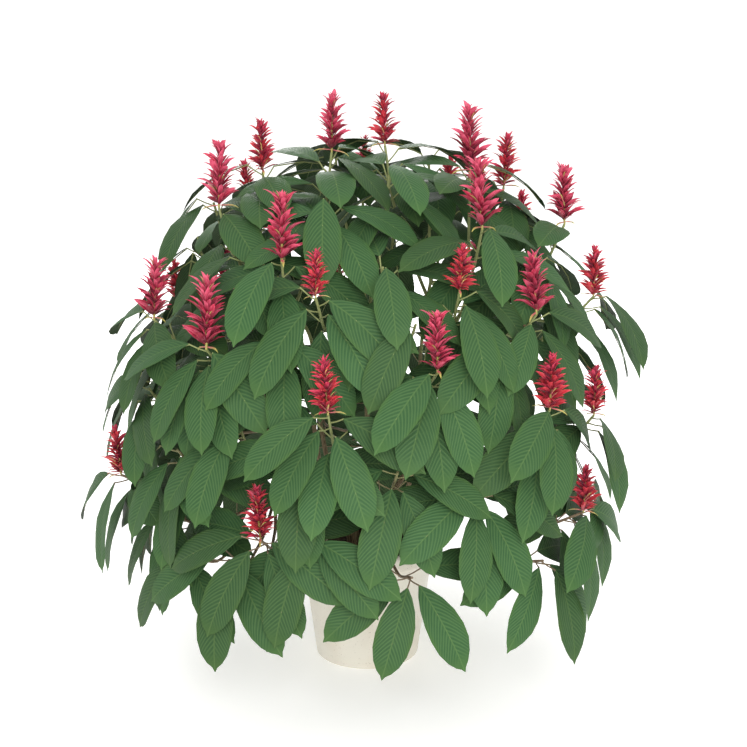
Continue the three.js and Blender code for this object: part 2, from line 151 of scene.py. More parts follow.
def extrudeStrip(piece, plan):
    # The two edges of a new grid go where the plan's first two rows are, and the other rows are
    # extruded from there. A row is its place along the strip and its share of the full width.
    rows = plan["rows"]
    curl = plan.get("curl", [0] * len(rows))
    full = plan["halfWidth"] * 2
    for edge, (along, wide) in zip((-0.5, 0.5), rows):
        selectWhere(piece, lambda co: near(co.y, edge))
        bpy.ops.transform.translate(value=(0, along - edge, 0))
        bpy.ops.transform.resize(value=(full * wide, 1, wide), center_override=(0, along, 0))
    for index in range(2, len(rows)):
        (along, wide), (ahead, wider) = rows[index - 1:index + 1]
        step = (0, ahead - along, curl[index] - curl[index - 1])
        bpy.ops.mesh.extrude_region_move(TRANSFORM_OT_translate={"value": step})
        size = wider / wide
        bpy.ops.transform.resize(value=(size, 1, size), center_override=(0, ahead, curl[index]))


def extrudeRound(outline, sides):  # a round piece, from its foot on through each radius and height
    deselectAll()
    bpy.ops.mesh.primitive_circle_add(vertices=sides, radius=outline[0][0], fill_type="NGON")
    piece = bpy.context.object
    editMode(True)
    bpy.ops.mesh.select_all(action="SELECT")
    for (radius, height), (nextRadius, nextHeight) in zip(outline, outline[1:]):
        bpy.ops.mesh.extrude_region_move(TRANSFORM_OT_translate={"value": (0, 0, nextHeight - height)})
        size = nextRadius / radius
        bpy.ops.transform.resize(value=(size, size, 1), center_override=(0, 0, nextHeight))
    editMode(False)
    cleanMesh(piece)
    return piece


def standFor(piece, slot, *nodes):
    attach(piece, "root")
    if nodes:
        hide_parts(*nodes)


def blend(first, second, share):
    return first + (second - first) * share


# Small helpers for materials

def shade(red, green, blue):  # a colour as it shows, 0 to 255, for a socket
    parts = [part / 255 for part in (red, green, blue)]
    return [p / 12.92 if p <= 0.04045 else ((p + 0.055) / 1.055) ** 2.4 for p in parts] + [1]


def newMaterial(name, roughness, specular):
    material = bpy.data.materials.new(name)
    material.use_nodes = True
    tree = material.node_tree
    surface = tree.nodes["Principled BSDF"]
    surface.inputs["Roughness"].default_value = roughness
    surface.inputs["Specular IOR Level"].default_value = specular
    return material, tree, surface


def addNode(tree, kind, **settings):
    node = tree.nodes.new(kind)
    for key, value in settings.items():
        setattr(node, key, value)
    return node


def feed(tree, socket, value):
    if isinstance(value, bpy.types.NodeSocket):
        tree.links.new(value, socket)
    else:
        socket.default_value = value


def maths(tree, operation, *values):
    node = addNode(tree, "ShaderNodeMath", operation=operation)
    for socket, value in zip(node.inputs, values):
        feed(tree, socket, value)
    return node.outputs[0]


def between(tree, value, low, high, first=0.0, last=1.0):  # a smooth step from first to last
    node = addNode(tree, "ShaderNodeMapRange", interpolation_type="SMOOTHSTEP")
    for socket, number in zip(node.inputs, (value, low, high, first, last)):
        feed(tree, socket, number)
    return node.outputs[0]


def mixColours(tree, share, first, second):
    node = addNode(tree, "ShaderNodeMix", data_type="RGBA")
    feed(tree, node.inputs[0], share)
    feed(tree, node.inputs[6], first)  # the colours' sockets are 6 and 7, and 2 on the way out
    feed(tree, node.inputs[7], second)
    return node.outputs[2]


def ramp(tree, value, stops, steps=False):
    node = addNode(tree, "ShaderNodeValToRGB")
    node.color_ramp.interpolation = "CONSTANT" if steps else "LINEAR"
    while len(node.color_ramp.elements) < len(stops):
        node.color_ramp.elements.new(0.5)
    for element, (place, colour) in zip(node.color_ramp.elements, stops):
        element.position = place
        element.color = colour
    feed(tree, node.inputs[0], value)
    return node.outputs[0]


def noise(tree, place, scale, detail=2.0, roughness=0.5):
    node = addNode(tree, "ShaderNodeTexNoise")
    feed(tree, node.inputs["Vector"], place)
    node.inputs["Scale"].default_value = scale
    node.inputs["Detail"].default_value = detail
    node.inputs["Roughness"].default_value = roughness
    return node.outputs["Fac"]


def stretched(tree, place, scale):
    node = addNode(tree, "ShaderNodeMapping")
    feed(tree, node.inputs["Vector"], place)
    node.inputs["Scale"].default_value = scale
    return node.outputs["Vector"]


def addBump(tree, surface, height, strength, distance):
    node = addNode(tree, "ShaderNodeBump")
    feed(tree, node.inputs["Height"], height)
    node.inputs["Strength"].default_value = strength
    node.inputs["Distance"].default_value = distance
    tree.links.new(node.outputs["Normal"], surface.inputs["Normal"])


def mapOf(tree):
    return addNode(tree, "ShaderNodeTexCoord").outputs["UV"]


def placeOf(tree):
    return addNode(tree, "ShaderNodeTexCoord").outputs["Object"]


# Leaves. The map holds them in columns: tops in all but the last one, undersides in the last.

leafPlan = {
    "across": 4,
    "halfWidth": 0.2,  # of the blade's length, as all sizes here are
    "rows": [  # along the blade, and the share of its full width
        (0, 0.05), (0.09, 0.38), (0.22, 0.71), (0.38, 0.94), (0.54, 1),
        (0.69, 0.93), (0.82, 0.7), (0.91, 0.4), (0.955, 0.14), (1, 0.02),
    ],
    "relief": [(1 / 2, 0.016), (1, 0.008)],  # how far the blade bulges beside its midrib
    "wave": 0.006,
    "waveFrom": 0.9,  # the share of a row's half width past which it waves
    "thickness": 0.0025,
    "stations": [0, 0.34, 0.76, 1],  # where the CAD blade has its rings
    "mapColumns": 5,
    "mapRows": 2,
    "mapScale": 0.48,
    "mapEdge": 0.01,
    "vein": shade(66, 94, 56),
    "between": shade(48, 77, 46),
    "tip": shade(64, 92, 49),
    "margin": shade(66, 93, 44),
    "midrib": shade(76, 103, 59),
    # the underside's own greyer green, made darker still as painted shade for leaves seen from behind
    "under": shade(49, 70, 43),
    "underVein": shade(75, 96, 63),
    "veins": 18,
    "veinRise": 1.05,  # how far a vein runs towards the tip for each step out from the midrib
    "veinArch": 3.0,  # and how fast that grows on the way out
    "veinSharpness": 1.6,
    "veinEnd": (0.74, 0.96),  # where along the blade the veins fade
    "midribEdge": (0.003, 0.011),  # how far from the middle the midrib fades
    "marginEdge": (0.14, 0.2),  # and where the margin's colour comes in
    "underVeinShare": 0.6,  # how strong each of the colours gets
    "tipShare": 0.85,
    "marginShare": 0.55,
    "midribShare": 0.75,
    "patchShare": 0.22,
    "patchEdge": (0.35, 0.7),
    "patchScale": 22,
    "hue": (0.494, 0.012),  # the least that a leaf gets, and what chance adds at most
    "brightness": (0.85, 0.28),
    "grainScale": 260,
    "grainHeight": 0.18,  # of the veins' height
    "bumpStrength": 0.55,
    "bumpHeight": 0.0009,
    "roughness": 0.55,
    "specular": 0.1,
}


def leafPattern(tree):
    # How far from its blade's midrib a point of the map is, how strong its veins are and how much
    # they fade, how strong the midrib is, and in which part of the map the leaf lies
    columns, rows, scale = leafPlan["mapColumns"], leafPlan["mapRows"], leafPlan["mapScale"]
    apart = addNode(tree, "ShaderNodeSeparateXYZ")
    feed(tree, apart.inputs[0], mapOf(tree))
    column = maths(tree, "MULTIPLY", apart.outputs[0], columns)
    row = maths(tree, "MULTIPLY", apart.outputs[1], rows)
    across = maths(tree, "SUBTRACT", maths(tree, "FRACT", column), 0.5)
    across = maths(tree, "MULTIPLY", across, 1 / columns / scale)
    along = maths(tree, "MULTIPLY", maths(tree, "FRACT", row), 1 / rows)
    along = maths(tree, "MULTIPLY", maths(tree, "SUBTRACT", along, leafPlan["mapEdge"]), 1 / scale)
    away = maths(tree, "ABSOLUTE", across)
    side = maths(tree, "GREATER_THAN", across, 0.0)
    steepness = maths(tree, "MULTIPLY_ADD", away, leafPlan["veinArch"], leafPlan["veinRise"])
    arch = maths(tree, "MULTIPLY", away, steepness)
    phase = maths(tree, "MULTIPLY", maths(tree, "SUBTRACT", along, arch), leafPlan["veins"])
    phase = maths(tree, "MULTIPLY_ADD", side, 0.5, phase)  # the veins of the two sides alternate
    wave = maths(tree, "SINE", maths(tree, "MULTIPLY", phase, math.tau))
    vein = maths(tree, "MULTIPLY_ADD", wave, 0.5, 0.5)
    faded = between(tree, along, *leafPlan["veinEnd"], 1.0, 0.0)
    midrib = between(tree, away, *leafPlan["midribEdge"], 1.0, 0.0)
    tile = addNode(tree, "ShaderNodeCombineXYZ")
    feed(tree, tile.inputs[0], maths(tree, "FLOOR", column))
    feed(tree, tile.inputs[1], maths(tree, "FLOOR", row))
    return away, vein, faded, midrib, tile.outputs[0]


def topColour(tree, shown, away, faded, midrib, tile):
    colour = mixColours(tree, shown, leafPlan["between"], leafPlan["vein"])
    share = maths(tree, "MULTIPLY", maths(tree, "SUBTRACT", 1.0, faded), leafPlan["tipShare"])
    colour = mixColours(tree, share, colour, leafPlan["tip"])
    share = between(tree, away, *leafPlan["marginEdge"], 0.0, leafPlan["marginShare"])
    colour = mixColours(tree, share, colour, leafPlan["margin"])
    share = maths(tree, "MULTIPLY", midrib, leafPlan["midribShare"])
    colour = mixColours(tree, share, colour, leafPlan["midrib"])
    patches = noise(tree, mapOf(tree), leafPlan["patchScale"], detail=3)
    share = between(tree, patches, *leafPlan["patchEdge"], 0.0, leafPlan["patchShare"])
    colour = mixColours(tree, share, colour, leafPlan["vein"])
    chance = addNode(tree, "ShaderNodeTexWhiteNoise", noise_dimensions="2D")  # one value all over a leaf
    feed(tree, chance.inputs["Vector"], tile)
    tinted = addNode(tree, "ShaderNodeHueSaturation")
    for socket, (least, more) in (("Hue", leafPlan["hue"]), ("Value", leafPlan["brightness"])):
        number = maths(tree, "MULTIPLY_ADD", chance.outputs["Value"], more, least)
        feed(tree, tinted.inputs[socket], number)
    feed(tree, tinted.inputs["Color"], colour)
    return tinted.outputs[0]


def leafMaterial(name, under):
    material, tree, surface = newMaterial(name, leafPlan["roughness"], leafPlan["specular"])
    away, vein, faded, midrib, tile = leafPattern(tree)
    ridge = maths(tree, "POWER", vein, leafPlan["veinSharpness"])
    shown = maths(tree, "MULTIPLY", ridge, faded)
    # the underside: its own colour darkened with painted shade, with paler veins on it
    if under:
        share = maths(tree, "MULTIPLY", shown, leafPlan["underVeinShare"])
        colour = mixColours(tree, share, leafPlan["under"], leafPlan["underVein"])
        colour = mixColours(tree, midrib, colour, leafPlan["underVein"])
    else:
        colour = topColour(tree, shown, away, faded, midrib, tile)
    feed(tree, surface.inputs["Base Color"], colour)
    grain = noise(tree, mapOf(tree), leafPlan["grainScale"], detail=2)
    relief = maths(tree, "SUBTRACT", shown, midrib)
    height = maths(tree, "MULTIPLY_ADD", grain, leafPlan["grainHeight"], relief)
    outwards = -1 if under else 1  # what is raised on one side is sunk on the other
    addBump(tree, surface, height, leafPlan["bumpStrength"], outwards * leafPlan["bumpHeight"])
    return material


def modelLeaf():
    deselectAll()
    bpy.ops.mesh.primitive_grid_add(x_subdivisions=leafPlan["across"], y_subdivisions=1, size=1)
    leaf = bpy.context.object
    leaf.name = "leafPattern"
    editMode(True)
    bpy.ops.mesh.select_mode(type="VERT")
    for share, rise in leafPlan["relief"]:
        selectWhere(leaf, lambda co: near(abs(co.x) * 2, share))
        bpy.ops.transform.translate(value=(0, 0, rise))
    extrudeStrip(leaf, leafPlan)
    for index, (along, wide) in enumerate(leafPlan["rows"][2:-2]):
        margin = leafPlan["halfWidth"] * wide * leafPlan["waveFrom"]
        for side in (-1, 1):
            selectWhere(leaf, lambda co: co.x * side > margin and near(co.y, along))
            bpy.ops.transform.translate(value=(0, 0, leafPlan["wave"] * side * (-1) ** (index // 2)))
    bpy.ops.mesh.select_all(action="DESELECT")
    bpy.ops.mesh.select_non_manifold()
    bpy.ops.mesh.select_all(action="INVERT")
    bpy.ops.object.vertex_group_assign_new()
    editMode(False)
    solid = leaf.modifiers.new("thickness", "SOLIDIFY")  # none at the margin, which stays thin
    solid.thickness = leafPlan["thickness"]
    solid.offset = -1
    solid.vertex_group = leaf.vertex_groups[0].name
    solid.material_offset = 1
    leaf.data.materials.append(leafMaterial("leaf_top", False))
    leaf.data.materials.append(leafMaterial("leaf_underside_painted_shade", True))
    applyModifiers(leaf)
    leaf.vertex_groups.clear()
    cleanMesh(leaf, turn=False)  # its faces are outwards already, and so thin a shell would be misjudged
    smooth(leaf)
    mapLeaf(leaf.data)
    return leaf


def mapLeaf(mesh):
    layer = newMap(mesh)
    columns, scale = leafPlan["mapColumns"], leafPlan["mapScale"]
    for face in mesh.polygons:
        column = columns - 1 if face.material_index else 0
        for loop in face.loop_indices:
            place = mesh.vertices[mesh.loops[loop].vertex_index].co
            u = (column + 0.5) / columns + place.x * scale
            layer.data[loop].uv = u, leafPlan["mapEdge"] + place.y * scale


# Reading the CAD branches: where each leaf lies, and where each stem ends

readingPlan = {
    "digits": 6,  # points whose places agree to so many are one point
    "tipReach": 0.03,  # the least distance from a blade's tip to its next ring
    "capSlack": 3e-5,  # how far a stem end's sides may be from their true length
}


def readNode(name):
    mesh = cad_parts[name].data
    places = np.empty(len(mesh.vertices) * 3)
    mesh.vertices.foreach_get("co", places)
    corners = np.empty(len(mesh.loops), int)
    mesh.loops.foreach_get("vertex_index", corners)
    places = np.round(places.reshape(-1, 3), readingPlan["digits"])
    points, same = np.unique(places, axis=0, return_inverse=True)
    faces = same.reshape(-1)[corners].reshape(-1, 3)
    return points, faces[[len(set(face)) == 3 for face in faces.tolist()]]


def unit(way):
    return way / np.linalg.norm(way, axis=-1, keepdims=True)


def ringFrame(points, ring):  # a CAD ring's middle and the way its upper side faces
    corners = points[list(ring)]
    spans = [np.linalg.norm(corners[1] - corners[2]), np.linalg.norm(corners[0] - corners[2]),
             np.linalg.norm(corners[0] - corners[1])]
    keel = int(np.argmax(spans))
    middle = (corners.sum(axis=0) - corners[keel]) / 2
    return middle, unit(middle - corners[keel])


def readLeaves(points, faces):
    # A blade's tip is joined to the three corners of its last ring, and each ring to the one before
    neighbours = [set() for _ in points]
    for a, b, c in faces.tolist():
        neighbours[a] |= {b, c}
        neighbours[b] |= {a, c}
        neighbours[c] |= {a, b}
    leaves = []
    for tip, around in enumerate(neighbours):
        shortest = min((np.linalg.norm(points[tip] - points[i]) for i in around), default=0)
        if len(around) != 3 or shortest < readingPlan["tipReach"]:
            continue
        rings, seen = [around], {tip} | around
        for _ in range(3):
            rings.append(set().union(*(neighbours[i] for i in rings[-1])) - seen)
            seen |= rings[-1]
        if [len(ring) for ring in rings[:3]] != [3, 3, 3]:
            continue
        frames = [ringFrame(points, ring) for ring in reversed(rings[:3])]
        middles = np.array([middle for middle, _ in frames] + [points[tip]])
        tops = np.array([top for _, top in frames] + [frames[-1][1]])
        leaves.append({"middles": middles, "tops": tops, "root": points[list(rings[3])].mean(axis=0)})
    return leaves


def readCaps(points, faces, radius):  # the three-sided stem ends of this radius: middles and ways out
    corners = points[faces]
    sides = np.linalg.norm(corners - np.roll(corners, 1, axis=1), axis=2)
    misses = np.abs(sides - radius * math.sqrt(3))
    flat = corners[np.all(misses < readingPlan["capSlack"], axis=1)]
    return flat.mean(axis=1), unit(np.cross(flat[:, 1] - flat[:, 0], flat[:, 2] - flat[:, 0]))


branches = []
for sector in sectors:
    for level in levels:
        points, faces = readNode(f"leafy_branch_{sector}_{level}")
        branches.append({"name": f"{sector}_{level}", "leaves": readLeaves(points, faces),
                         "points": points, "faces": faces})
print("leaves read:", sum(len(branch["leaves"]) for branch in branches))


# Bending a copy of the pattern leaf along each CAD leaf

def bendShares(along):
    # For each point, its shares of the stations' places and runs on a smooth curve, and of their values
    # in a plain blend
    stations = leafPlan["stations"]
    spot, run, plain = (np.zeros((len(along), len(stations))) for _ in range(3))
    for index, y in enumerate(along):
        low = max(0, min(int(np.searchsorted(stations, y, side="right")) - 1, len(stations) - 2))
        span = stations[low + 1] - stations[low]
        t = (y - stations[low]) / span
        spot[index, low:low + 2] = 2 * t ** 3 - 3 * t ** 2 + 1, 3 * t ** 2 - 2 * t ** 3
        run[index, low:low + 2] = (t ** 3 - 2 * t ** 2 + t) * span, (t ** 3 - t ** 2) * span
        plain[index, low:low + 2] = 1 - t, t
    return spot, run, plain


def stationRuns(middles):  # how the midrib runs at each station, per unit of the blade's length
    spans = np.diff(leafPlan["stations"])[:, None]
    slopes = np.diff(middles, axis=0) / spans
    inner = (slopes[:-1] * spans[1:] + slopes[1:] * spans[:-1]) / (spans[1:] + spans[:-1])
    return np.vstack([1.5 * slopes[0] - 0.5 * inner[0], inner, 1.5 * slopes[-1] - 0.5 * inner[-1]])


def bendLeaf(leaf, pattern, shares):
    spot, run, plain = shares
    runs = stationRuns(leaf["middles"])
    length = np.linalg.norm(np.diff(leaf["middles"], axis=0), axis=1).sum()
    line = spot @ leaf["middles"] + run @ runs
    ways = unit(plain @ runs)
    sides = plain @ unit(np.cross(runs, leaf["tops"]))
    sides = unit(sides - ways * (sides * ways).sum(axis=1, keepdims=True))
    tops = np.cross(sides, ways)
    return line + (sides * pattern[:, :1] + tops * pattern[:, 2:]) * length


def growLeaves():
    leaf = modelLeaf()
    mesh = leaf.data
    pattern = np.empty(len(mesh.vertices) * 3)
    mesh.vertices.foreach_get("co", pattern)
    pattern = pattern.reshape(-1, 3)
    shares = bendShares(pattern[:, 1])
    places = np.empty(len(mesh.loops) * 2)
    mesh.uv_layers[bakeMap].data.foreach_get("uv", places)
    places = places.reshape(-1, 2)
    columns, rows = leafPlan["mapColumns"], leafPlan["mapRows"]
    onTop = places[:, 0] < 1 - 1 / columns
    for branch in branches:
        copies = []
        for planned in branch["leaves"]:
            copy = copyPiece(leaf)
            copy.data.vertices.foreach_set("co", bendLeaf(planned, pattern, shares).ravel())
            column, row = random.randrange(columns - 1), random.randrange(rows)
            moved = places + np.outer(onTop, (column / columns, 0)) + (0, row / rows)
            copy.data.uv_layers[bakeMap].data.foreach_set("uv", moved.ravel())
            copy.data.update()
            copies.append(copy)
        whole = joinPieces(copies, "leaves_" + branch["name"])
        standFor(whole, "leaf", "leafy_branch_" + branch["name"])
    bpy.data.objects.remove(leaf)


growLeaves()
print("leaves grown")


# Stems, petioles and midribs: tubes along the CAD's own lines

stemPlan = {
    "footRadius": 0.005,
    "hubRadius": 0.0046,
    "tipRadius": 0.0032,
    "hubReach": 0.6,  # the knuckle's share of the way out to the middle of its shoots
    "hubRise": 0.55,  # and its share of the way up
    "lastStretch": 0.13,  # from a shoot's tip back to its last bend
    "rounding": 0.016,  # how far from a bend its rounding starts
    "roundness": 2,  # how finely a tube is rounded
    "petiole": [(0, 0.0026), (0.12, 0.0019), (0.5, 0.0017), (1, 0.0019)],  # share of its way, and radius
    "petioleSag": 0.0016,
    "petioleSunk": 0.002,  # how deep it starts in its stem
    "petioleRoundness": 1,
    "midrib": [(0, 0.0019), (0.34, 0.0014), (0.6, 0.001), (0.86, 0.0004)],
    "midribDepth": 1.15,  # how many of its radii it lies under the blade's upper side
    "young": (shade(140, 142, 92), shade(118, 132, 84)),  # two colours in patches
    "old": (shade(138, 118, 96), shade(110, 96, 74)),
    "youngEdge": (0.55, 0.8),  # the height where old turns into young
    "patchScale": 14,
    "grainScale": 420,
    "bumpStrength": 0.25,
    "bumpHeight": 0.0006,
    "roughness": 0.6,
    "specular": 0.3,
}


def growTubes(name, paths, roundness, material):
    curve = bpy.data.curves.new(name, "CURVE")
    curve.dimensions = "3D"
    curve.bevel_depth = 1
    curve.bevel_resolution = roundness
    curve.use_fill_caps = True
    for path in paths:
        spline = curve.splines.new("POLY")
        spline.points.add(len(path) - 1)
        for point, (place, radius) in zip(spline.points, path):
            point.co = (*place, 1)
            point.radius = radius
    piece = bpy.data.objects.new(name, curve)
    scene.collection.objects.link(piece)
    pick(piece)
    bpy.ops.object.convert(target="MESH")
    piece = bpy.context.object
    piece.data.materials.clear()
    piece.data.materials.append(material)
    cleanMesh(piece)
    smooth(piece)
    return piece


def roundedPath(corners, radii):  # a path through the corners, each one rounded off
    path = [(corners[0], radii[0])]
    for before, corner, after, radius in zip(corners, corners[1:], corners[2:], radii[1:]):
        arriving = corner + unit(before - corner) * stemPlan["rounding"]
        leaving = corner + unit(after - corner) * stemPlan["rounding"]
        path += [(arriving, radius), ((arriving + leaving) / 4 + corner / 2, radius), (leaving, radius)]
    return path + [(corners[-1], radii[-1])]


def alongCurve(handles, share):  # a point of the smooth curve that the handles pull
    while len(handles) > 1:
        handles = [blend(a, b, share) for a, b in zip(handles, handles[1:])]
    return handles[0]


def stemPaths(branch):
    footPlaces, footWays = readCaps(branch["points"], branch["faces"], stemPlan["footRadius"])
    tips, tipWays = readCaps(branch["points"], branch["faces"], stemPlan["tipRadius"])
    foot, way = footPlaces[0], -footWays[0]
    middle = tips.mean(axis=0)
    hub = middle * stemPlan["hubReach"]
    hub[2] = blend(foot[2], middle[2], stemPlan["hubRise"])
    bend = foot + way * np.linalg.norm(hub - foot) / 2
    thirds = [0, 1 / 3, 2 / 3, 1]
    feeder = [alongCurve([foot, bend, hub], share) for share in thirds]
    radii = [blend(stemPlan["footRadius"], stemPlan["hubRadius"], share) for share in thirds]
    paths = [roundedPath(feeder, radii)]
    for tip, tipWay in zip(tips, tipWays):
        shoulder = tip - tipWay * stemPlan["lastStretch"]
        line = [alongCurve([hub, (hub + shoulder) / 2, shoulder, tip], share) for share in thirds]
        radii = [blend(stemPlan["hubRadius"], stemPlan["tipRadius"], share) for share in thirds]
        paths.append(roundedPath(line, radii))
    return paths


def petiolePath(leaf):
    root, neck = leaf["root"], leaf["middles"][0]
    root = root - unit(neck - root) * stemPlan["petioleSunk"]
    path = []
    for share, radius in stemPlan["petiole"]:
        place = blend(root, neck, share)
        place[2] -= stemPlan["petioleSag"] * math.sin(math.pi * share)
        path.append((place, radius))
    return path


def midribPath(leaf):
    shares, radii = zip(*stemPlan["midrib"])
    spot, run, plain = bendShares(shares)
    runs = stationRuns(leaf["middles"])
    depths = np.array(radii)[:, None] * stemPlan["midribDepth"]
    places = spot @ leaf["middles"] + run @ runs - plain @ leaf["tops"] * depths
    return list(zip(places, radii))


def stemMaterial():
    material, tree, surface = newMaterial("green_stem", stemPlan["roughness"], stemPlan["specular"])
    place = placeOf(tree)
    height = addNode(tree, "ShaderNodeSeparateXYZ")
    feed(tree, height.inputs[0], place)
    patches = noise(tree, place, stemPlan["patchScale"], detail=4)
    young = mixColours(tree, patches, *stemPlan["young"])
    old = mixColours(tree, patches, *stemPlan["old"])
    colour = mixColours(tree, between(tree, height.outputs[2], *stemPlan["youngEdge"]), old, young)
    feed(tree, surface.inputs["Base Color"], colour)
    grain = noise(tree, place, stemPlan["grainScale"], detail=2)
    addBump(tree, surface, grain, stemPlan["bumpStrength"], stemPlan["bumpHeight"])
    return material


def growStems():
    material = stemMaterial()
    for branch in branches:
        stems = growTubes("stems", stemPaths(branch), stemPlan["roundness"], material)
        paths = [petiolePath(leaf) for leaf in branch["leaves"]]
        paths += [midribPath(leaf) for leaf in branch["leaves"]]
        petioles = growTubes("petioles", paths, stemPlan["petioleRoundness"], material)
        whole = joinPieces([stems, petioles], "stems_" + branch["name"])
        standFor(whole, "leaf", "leafy_branch_" + branch["name"])


growStems()
print("stems grown")


# Canes: grey-brown wood, forked once

canePlan = {
    "foot": (0.046, 0.245),  # reach from the plant's middle, and height
    "neck": (0.046, 0.328),
    "bend": (0.046, 0.395),
    "fork": (0.13, 0.455),
    "upper": [(0.185, 0.55), (0.205, 0.8)],
    "lower": [(0.19, 0.505), (0.292, 0.5)],
    "footRadius": 0.0085,
    "forkRadius": 0.0068,
    "endRadius": 0.005,
    "stumpSteps": 4,  # up to the neck
    "riseSteps": 10,  # from there to the fork
    "armSteps": 15,
    "scarEvery": 5,  # steps from one leaf scar to the next
    "scarHeight": 0.06,  # how far it stands out, as a share of the radius
    "roundness": 4,
    "bark": [(0.3, shade(92, 76, 58)), (0.55, shade(138, 120, 95)), (0.75, shade(170, 156, 130))],
    "barkStretch": (60, 60, 14),
    "barkScale": 4,
    "green": shade(118, 116, 82),
    "greenShare": 0.5,
    "greenEdge": (0.4, 0.7),
    "greenScale": 9,
    "bumpStrength": 0.6,
    "bumpHeight": 0.0015,
    "roughness": 0.85,
    "specular": 0.25,
}


def caneMaterial():
    material, tree, surface = newMaterial("cane_bark", canePlan["roughness"], canePlan["specular"])
    place = placeOf(tree)
    fibres = stretched(tree, place, canePlan["barkStretch"])
    fine = noise(tree, fibres, canePlan["barkScale"], detail=6, roughness=0.65)
    broad = noise(tree, place, canePlan["greenScale"], detail=3)
    share = between(tree, broad, *canePlan["greenEdge"], 0.0, canePlan["greenShare"])
    colour = mixColours(tree, share, ramp(tree, fine, canePlan["bark"]), canePlan["green"])
    feed(tree, surface.inputs["Base Color"], colour)
    addBump(tree, surface, fine, canePlan["bumpStrength"], canePlan["bumpHeight"])
    return material


def canePath(turn, handles, steps, radii):
    path = []
    for step in range(steps + 1):
        share = step / steps
        reach, height = alongCurve([np.array(handle) for handle in handles], share)
        radius = blend(radii[0], radii[1], share)
        if step % canePlan["scarEvery"] == 0:
            radius *= 1 + canePlan["scarHeight"]
        path.append(((reach * math.sin(turn), -reach * math.cos(turn), height), radius))
    return path


def growCanes():
    material = caneMaterial()
    foot, neck, bend, fork = (canePlan[name] for name in ("foot", "neck", "bend", "fork"))
    thick, middling, thin = (canePlan[name + "Radius"] for name in ("foot", "fork", "end"))
    for index, sector in enumerate(sectors):
        turn = math.tau * index / len(sectors)
        stump = canePath(turn, [foot, neck], canePlan["stumpSteps"], (thick, thick))
        rise = canePath(turn, [neck, bend, fork], canePlan["riseSteps"], (thick, middling))
        paths = [stump[:-1] + rise]
        for arm in ("upper", "lower"):
            handles = [fork, *canePlan[arm]]
            paths.append(canePath(turn, handles, canePlan["armSteps"], (middling, thin)))
        cane = growTubes(f"cane_wood_{sector}", paths, canePlan["roundness"], material)
        standFor(cane, "woody_cane", f"cane_{sector}")


growCanes()
print("canes grown")


# Flower spikes. A bract is modelled once, then spikes of a few kinds are built of it and copied.

bractPlan = {
    "halfWidth": 0.12,  # of the bract's length, as all sizes here are
    "rows": [(0, 0.3), (0.2, 0.74), (0.45, 1), (0.68, 0.86), (0.87, 0.45), (1, 0.03)],
    "cup": 0.06,  # how far its sides rise
    "curl": [0, 0, 0.02, 0.03, 0, -0.05],  # and how far each row does
    "thickness": 0.008,
    "mapSides": (0.25, 0.75),  # where its upper and its under side lie in a column of the map
    "mapAcross": (0.7, 0.2),  # how far x and z move a point across the map
    "mapAlong": (0.92, 0.1),  # how far y and z move it along
    "mapEdge": 0.03,
    "colours": {  # at the bract's base and at its tip, with a column of the map for each pair
        "pink": (shade(132, 13, 42), shade(214, 80, 110)),
        "crimson": (shade(100, 8, 31), shade(196, 48, 78)),
        "red": (shade(135, 13, 29), shade(208, 54, 62)),
        # a painted shade: a darker copy of the bracts' colours, for bracts that stand in shade
        "dark": (shade(70, 6, 25), shade(158, 30, 58)),
        "pale": (shade(214, 110, 120), shade(196, 198, 104)),
        "axis": (shade(153, 158, 76), shade(86, 16, 32)),
    },
    "tipEdge": (0.15, 0.82),  # where along the bract the one turns into the other
    "streakStretch": (260, 5, 1),
    # the light streaks are painted highlights, like the sheen on glossy bracts
    "lightStreak": shade(236, 132, 152),
    "lightEdge": (0.4, 0.75),
    "lightShare": 0.35,
    "darkStreak": shade(120, 8, 34),
    "darkEdge": (0.5, 0.25),
    "darkShare": 0.4,
    "bumpStrength": 0.4,
    "bumpHeight": 0.0008,
    "roughness": 0.45,
    "specular": 0.4,
}
bractColumns = list(bractPlan["colours"])
spikePlan = {
    "kinds": [  # lean, in degrees, and length are those of the lowest bracts and of the highest
        {"name": "open", "seed": 3, "tiers": 11, "each": 6,
         "lean": (57, 34), "length": (0.37, 0.27), "dense": False},
        {"name": "airy", "seed": 8, "tiers": 10, "each": 6,
         "lean": (55, 36), "length": (0.37, 0.28), "dense": False},
        {"name": "full", "seed": 5, "tiers": 12, "each": 7,
         "lean": (62, 36), "length": (0.37, 0.24), "dense": True},
        {"name": "cone", "seed": 21, "tiers": 12, "each": 7,
         "lean": (66, 34), "length": (0.4, 0.23), "dense": True},
    ],
    "denseBelow": 0.15,  # metres: a shorter spike is of a dense kind
    "footCorners": 5,  # of the CAD spike
    "lowest": 0.05,  # of the spike's length, as the sizes below are
    "highest": 0.76,
    "leanCurve": 1.15,  # over 1, the bracts straighten more towards the top
    "tierTurn": 0.381,  # of a full turn, from one tier to the next
    "turnSpread": 0.45,  # radians each way, as for roll
    "rollSpread": 0.8,
    "heightSpread": 0.032,
    "leanSpread": 18,  # degrees each way
    "lengthSpread": (0.68, 1.14),
    "widthSpread": (0.9, 1.2),
    "usual": ("pink", 0.4, 0.8),  # most of its bracts, with their share at the foot and at the top
    "usualDense": ("red", 0.7, 0.25),
    # crimson bracts, and dark ones whose colour is painted shade
    "others": ["crimson", "dark"],
    # Slender ones between the large ones, with their lean and length as shares of the large ones'
    "slender": {"count": 2, "wide": 0.42, "lean": 0.7, "length": 0.72, "pale": 0.3},
    "foot": {"height": 0.035, "leans": (92, 106), "length": 0.3, "wide": 0.62},
    "tuft": {"count": 4, "height": 0.765, "spread": 0.4, "leans": (6, 20), "length": 0.215,
             "wide": 1.15, "colour": "pink", "colourDense": "crimson"},
    "stalkRadius": 0.017,  # at its foot
    "stalk": [(0, 0.95), (0.08, 1), (0.3, 1), (0.6, 0.75), (0.86, 0.3)],  # height, and relative thickness
    "stalkSides": 8,
    "stalkMap": {"start": 0.1, "round": 0.8, "edge": 0.03, "up": 0.9},
}


